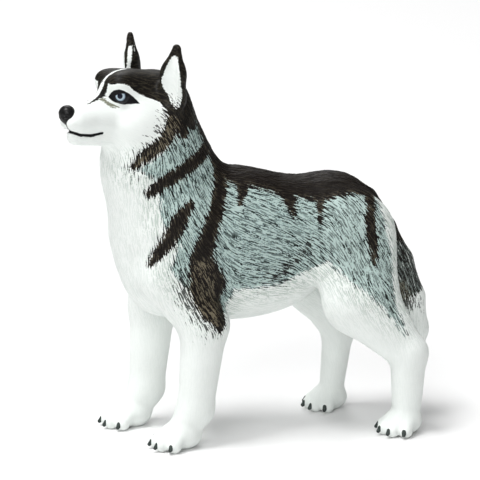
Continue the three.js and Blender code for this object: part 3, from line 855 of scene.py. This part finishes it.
def newMaterial(name, coat=0.0):
    material = bpy.data.materials.new(name)
    material.use_nodes = True
    shader = material.node_tree.nodes["Principled BSDF"]
    for socket, value in [("Coat Weight", coat), *vinyl.items()]:
        shader.inputs[socket].default_value = value
    return material, material.node_tree, shader


def addBump(tree, height, strength, depth):
    bump = addNode(tree, "ShaderNodeBump")
    bump.inputs["Strength"].default_value = strength
    bump.inputs["Distance"].default_value = depth
    connect(tree, height, bump.inputs["Height"])
    return bump


# The hand-painted finish on a material, with its surface as a bump some metres deep
def finishWith(tree, shader, colour, mottle, gloss, grain, bump, depth):
    paint = addNode(tree, "ShaderNodeGroup", node_tree=handPaint)
    for socket, value in (("Colour", colour), ("Mottle", mottle), ("Gloss", gloss), ("Grain", grain)):
        connect(tree, value, paint.inputs[socket])
    tree.links.new(paint.outputs["Colour"], shader.inputs["Base Color"])
    tree.links.new(paint.outputs["Roughness"], shader.inputs["Roughness"])
    relief = addBump(tree, paint.outputs["Height"], bump, depth)
    tree.links.new(relief.outputs[0], shader.inputs["Normal"])
    return relief


coatPaint = {
    "white": (0.83, 0.865, 0.84), "shade": (0.46, 0.54, 0.49), "grey": (0.36, 0.48, 0.46),
    "greyDeep": (0.012, 0.018, 0.016), "greyLight": (0.52, 0.64, 0.61), "dark": (0.007, 0.005, 0.004),
    "darkLight": (0.22, 0.19, 0.13), "olive": (0.10, 0.10, 0.04), "cap": (0.006, 0.005, 0.004),
    "liner": (0.004, 0.004, 0.005), "tail": (0.07, 0.08, 0.075), "tailLight": (0.17, 0.2, 0.185),
    "fine": (4300.0, 0.0010, 8.5),  # fineness, length and contrast of the fine strokes
    "broad": (1300.0, 0.0035, 5.0),  # and of the broad ones, in which the wash gathers
    "finish": {"mottle": 0.1, "gloss": 0.5, "grain": 1.0, "bump": 0.25, "depth": 0.00004},
    "engraving": (0.6, 0.0001),  # strength of the fine strokes' bump, and its depth
}
# The values at which each mask begins and is whole, in mm where they are distances to a marking
coatEdges = {
    "wash": (-0.3, 0.4), "groove": (0.12, -0.28), "ridge": (0.02, 0.4),  # a groove is the bottom of a stroke
    "grey": (0.3, -0.3), "dark": (0.15, -0.2), "tail": (0.2, -0.2), "cap": (0.08, -0.08),
    "liner": (0.06, -0.06), "olive": (0.15, -0.1), "brushed": (0.3, -0.9), "ochre": (0.8, -1.2),
    "ochreOn": (-0.2, 0.3), "worn": (-1.6, 0), "wornBrush": (0.4, -1.6),
}


# How much of each layer shows, and how far the strokes push its edge about, in mm
coatShares = {
    "jagFine": 0.65, "jagBroad": 0.3, "shade": 0.75, "pale": 0.7, "lit": 0.8, "deep": 0.55, "deepWash": 0.45,
    "worn": 0.05, "wornEdge": 0.4, "wornBrush": 0.72, "brushed": 0.85, "brushedJag": 2.4,
    "tailGroove": 0.9, "tailJag": 1.4, "olive": 0.85, "oliveJag": 0.3,
    "capLit": 0.12, "edgeNoise": 0.25, "edgeFine": 0.12, "linerJag": 0.3, "edgeFineness": 900.0,
}


def coatMaterial():
    material, tree, shader = newMaterial("paintedCoat")
    c, share = coatPaint, coatShares
    fine, broad = strokesAt(tree, *c["fine"]), strokesAt(tree, *c["broad"])

    def maskOf(kind, value):
        return mask(tree, value, *coatEdges[kind])

    # The distance to a marking, made ragged by a share of some strokes
    def ragged(kind, by, amount=1.0):
        return plus(tree, attribute(tree, kind), times(tree, by, amount))

    wash, groove, ridge = maskOf("wash", broad), maskOf("groove", fine), maskOf("ridge", fine)
    jag = plus(tree, times(tree, fine, share["jagFine"]), times(tree, broad, share["jagBroad"]))

    faint = times(tree, groove, times(tree, attribute(tree, "relief"), share["shade"]))
    white = mixColour(tree, faint, c["white"], c["shade"])
    pale = times(tree, attribute(tree, "pale"), share["pale"])  # the thighs are lighter than the flanks
    light = maths(tree, "MAXIMUM", times(tree, ridge, share["lit"]), pale)
    grey = mixColour(tree, light, c["grey"], c["greyLight"])
    deep = times(tree, groove, plus(tree, share["deep"], times(tree, wash, share["deepWash"])))
    grey = mixColour(tree, deep, grey, c["greyDeep"])
    colour = mixColour(tree, maskOf("grey", ragged("grey", jag)), white, grey)

    # The edges of a dark patch are brushed thin, so the ridges show through.
    worn = plus(tree, share["worn"], times(tree, maskOf("worn", attribute(tree, "dark")), share["wornEdge"]))
    brush = times(tree, maskOf("wornBrush", attribute(tree, "brushed")), share["wornBrush"])
    worn = maths(tree, "MAXIMUM", worn, brush)
    dark = mixColour(tree, times(tree, ridge, worn), c["dark"], c["darkLight"])
    brushedAt = ragged("brushed", fine, share["brushedJag"])
    colour = mixColour(tree, times(tree, maskOf("brushed", brushedAt), share["brushed"]), colour, dark)

    tail = mixColour(tree, ridge, c["tail"], c["tailLight"])
    ochre = times(tree, maskOf("ochre", brushedAt), maskOf("ochreOn", fine))
    tail = mixColour(tree, ochre, tail, c["darkLight"])
    tail = mixColour(tree, times(tree, groove, share["tailGroove"]), tail, c["dark"])
    colour = mixColour(tree, maskOf("tail", ragged("tail", jag, share["tailJag"])), colour, tail)
    colour = mixColour(tree, maskOf("dark", ragged("dark", jag)), colour, dark)

    # The face is painted last, with cleaner edges.
    olive = times(tree, maskOf("olive", ragged("olive", fine, share["oliveJag"])), share["olive"])
    colour = mixColour(tree, olive, colour, c["olive"])
    wobble = swingOf(tree, noise(tree, share["edgeFineness"]), share["edgeNoise"])
    edge = plus(tree, wobble, times(tree, fine, share["edgeFine"]))
    cap = mixColour(tree, times(tree, ridge, share["capLit"]), c["cap"], c["darkLight"])
    colour = mixColour(tree, maskOf("cap", ragged("cap", edge)), colour, cap)
    colour = mixColour(tree, maskOf("liner", ragged("liner", edge, share["linerJag"])), colour, c["liner"])

    grain = finishWith(tree, shader, colour, **c["finish"])
    engraving = addBump(tree, times(tree, fine, attribute(tree, "relief")), *c["engraving"])
    tree.links.new(grain.outputs[0], engraving.inputs["Normal"])
    tree.links.new(engraving.outputs[0], shader.inputs["Normal"])
    return material


print("husky: pieces")
skinMesh = newMesh("skin", toFrame(points), faces)
for name, values in [("relief", relief), *marks.items()]:
    layer = skinMesh.attributes.new(name, "FLOAT", "POINT")
    layer.data.foreach_set("value", np.asarray(values, np.float32))
lieLayer = skinMesh.attributes.new("lie", "FLOAT_VECTOR", "POINT")
lieLayer.data.foreach_set("vector", lie.astype(np.float32).ravel())
fleshNodes = [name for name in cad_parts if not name.startswith("eye") and name != "nose"]
newPiece("skin", skinMesh, coatMaterial(), fleshNodes)


# A small form of its own, from masses in the head's frame or the dog's
def smallForm(masses, cuts, low, high, step, move=None):
    part = Field(low, high, step)
    for mass in masses:
        part.join(mass, move, (low, high))
    for mass in cuts:
        part.cut(mass, mass["blend"], move, (low, high))
    return surfaceOf(part)


smallStep = 0.1  # grid of the nose and eyes
nosePaint = {
    "black": (0.006, 0.006, 0.006), "speck": (0.04, 0.04, 0.044), "specks": (0.62, 0.7), "share": 0.5,
    "finish": {"mottle": 0.2, "gloss": 0.42, "grain": 1.5, "bump": 0.5, "depth": 0.00006},
}


def addNose():
    tip = -headPose["reach"]
    masses = [
        ball((0, tip + 1.65, -1.7), (1.8, 1.65, 1.75), 1),
        ball((0, tip + 2.3, -2.9), (1, 1.1, 1.1), 1),
    ]
    cuts = [
        *bothSides(lambda s: limb((s * 0.75, tip - 0.3, -1.9), 0.28, (s * 1.5, tip + 1, -2.1), 0.22, 0.3)),
        limb((0, tip - 0.2, -1.6), 0.14, (0, tip + 0.6, -3.6), 0.14, 0.2),
    ]
    centre = fromHead((0, tip + 1.9, -2.2))
    spots, quads = smallForm(masses, cuts, centre - 3.2, centre + 3.2, smallStep, toHead)
    material, tree, shader = newMaterial("nosePaint", coat=0.15)
    speck = times(tree, mask(tree, noise(tree, 5200.0, 1.0), *nosePaint["specks"]), nosePaint["share"])
    colour = mixColour(tree, speck, nosePaint["black"], nosePaint["speck"])
    finishWith(tree, shader, colour, **nosePaint["finish"])
    newPiece("nose_leather", newMesh("noseLeather", toFrame(spots), quads), material, ["nose"])


eyeLook = {
    "gaze": (0.66, -0.74, 0.08),
    "iris": (1.07, 0.97), "ring": (0.98, 0.75), "pupil": (0.62, 0.50),  # where each edge begins and ends
    "black": (0.006, 0.006, 0.008), "rim": (0.17, 0.23, 0.30), "blue": (0.42, 0.52, 0.58),
    "inside": (0.004, 0.006, 0.015),
    "finish": {"mottle": 0.1, "gloss": 0.22, "grain": 0.3, "bump": 0.1, "depth": 0.00002},
}


def eyeMaterial(centre, gaze):
    material, tree, shader = newMaterial("eyePaint", coat=0.2)
    look = eyeLook
    away = addNode(tree, "ShaderNodeVectorMath", operation="DISTANCE")
    tree.links.new(addNode(tree, "ShaderNodeTexCoord").outputs["Object"], away.inputs[0])
    away.inputs[1].default_value = centre + gaze * eyeSpot["radius"] * mm
    apart = times(tree, away.outputs["Value"], 1 / mm)
    apart = plus(tree, apart, swingOf(tree, noise(tree, 1800.0), 0.16))
    blue = mixColour(tree, mask(tree, apart, *look["ring"]), look["rim"], look["blue"])
    colour = mixColour(tree, mask(tree, apart, *look["iris"]), look["black"], blue)
    colour = mixColour(tree, mask(tree, apart, *look["pupil"]), colour, look["inside"])
    finishWith(tree, shader, colour, **look["finish"])
    return material


def addEye(name, s):
    spot = (s * eyeSpot["x"], eyeSpot["y"], eyeSpot["z"])
    centre, margin = fromHead(spot), eyeSpot["radius"] + 0.4
    form = [ball(spot, (eyeSpot["radius"],) * 3, 1)]
    spots, quads = smallForm(form, [], centre - margin, centre + margin, smallStep, toHead)
    gx, gy, gz = eyeLook["gaze"]
    gaze = Vector(fromHead((s * gx, gy, gz)) - fromHead((0, 0, 0))).normalized()
    material = eyeMaterial(Vector(toFrame(centre)), gaze)
    newPiece(name + "_ball", newMesh(name, toFrame(spots), quads), material, [name])


claw = {
    "root": (0.95, 0.15, 0.58), "tip": (1.6, -0.4, 0.38),  # how far past the toe's end and up, and the radius
    "reach": 1.5, "step": 0.08,
    "dark": (0.02, 0.026, 0.024), "light": (0.06, 0.075, 0.07),
    "finish": {"mottle": 0.2, "gloss": 0.4, "grain": 1.0, "bump": 0.3, "depth": 0.00004},
}


def clawForm(end, s, mirror, toe):
    (a, b, _), (d, e, f) = toe
    way = np.array([d - a, e - b]) / math.hypot(d - a, e - b)

    def place(past, up):
        return np.array(pawPlace(end, s, mirror * (d + past * way[0]), e + past * way[1], f + up))

    (*rootAt, rootRadius), (*tipAt, tipRadius) = claw["root"], claw["tip"]
    root, tip = place(*rootAt), place(*tipAt)
    form = [limb(root, rootRadius, tip, tipRadius, 0.3)]
    middle = (root + tip) / 2
    return smallForm(form, [], middle - claw["reach"], middle + claw["reach"], claw["step"])


def addClaws():
    material, tree, shader = newMaterial("clawPaint", coat=0.1)
    colour = mixColour(tree, noise(tree, 1500.0), claw["dark"], claw["light"])
    finishWith(tree, shader, colour, **claw["finish"])
    for end, s in paws:
        spots, quads, count = [], [], 0
        for mirror, toe in itertools.product((1, -1), toeLines):
            p, q = clawForm(end, s, mirror, toe)
            spots.append(p)
            quads.append(q + count)
            count += len(p)
        side = "left" if s > 0 else "right"
        mesh = newMesh("claws", toFrame(np.concatenate(spots)), np.concatenate(quads))
        newPiece(f"claws_{end}_{side}", mesh, material, [])


addNose()
addEye("eye_left", 1)
addEye("eye_right", -1)
addClaws()

# Studio
studio = {
    "azimuth": 75.8, "elevation": 13.5, "distance": 0.56, "lens": 212.1, "target": (0.0, -0.0012, 0.0392),
    "lights": {  # place, size in metres and power in watts
        "key": ((1.1, -0.65, 0.9), 0.7, 9),
        "top": ((0.1, -0.5, 1.45), 0.6, 20),
        "back": ((-0.9, 0.1, 0.8), 0.5, 4),
    },
    "aim": (0, 0, 0.035), "world": 0.2,
    "floorHalf": 6, "floorTones": ((0.8,) * 3, (0.82,) * 3), "floorGlow": 0.03,
}


def addCamera():
    a, e = math.radians(studio["azimuth"]), math.radians(studio["elevation"])
    away = Vector((math.sin(a) * math.cos(e), -math.cos(a) * math.cos(e), math.sin(e)))
    data = bpy.data.cameras.new("photoView")
    data.lens, data.sensor_width, data.clip_start, data.clip_end = studio["lens"], 36.0, 0.01, 20.0
    camera = newObject("photoView", data)
    camera.location = Vector(studio["target"]) + away * studio["distance"]
    camera.rotation_euler = (-away).to_track_quat("-Z", "Y").to_euler()
    bpy.context.scene.camera = camera


def addLight(name, spot, size, power):
    data = bpy.data.lights.new(name, "AREA")
    data.size, data.energy = size, power
    light = newObject(name, data)
    light.location = spot
    light.rotation_euler = (Vector(studio["aim"]) - Vector(spot)).to_track_quat("-Z", "Y").to_euler()


def addFloor():
    half = studio["floorHalf"]
    corners = [(-half, -half, 0), (half, -half, 0), (half, half, 0), (-half, half, 0)]
    mesh = newMesh("floor", corners, np.array([[0, 1, 2, 3]]))
    floor = newObject("floor", mesh)
    material, tree, shader = newMaterial("paleFloor")
    tree.links.new(mixColour(tree, noise(tree, 3.0), *studio["floorTones"]), shader.inputs["Base Color"])
    shader.inputs["Roughness"].default_value = 0.9
    shader.inputs["Emission Color"].default_value = (1, 1, 1, 1)
    shader.inputs["Emission Strength"].default_value = studio["floorGlow"]
    mesh.materials.append(material)


def addWorld():
    world = bpy.data.worlds.new("studio")
    world.use_nodes = True
    background = world.node_tree.nodes["Background"]
    background.inputs["Color"].default_value = (1, 1, 1, 1)
    background.inputs["Strength"].default_value = studio["world"]
    bpy.context.scene.world = world
    bpy.context.scene.view_settings.view_transform = "Standard"


addCamera()
addFloor()
addWorld()
for name, light in studio["lights"].items():
    addLight(name, *light)

print("husky: done")
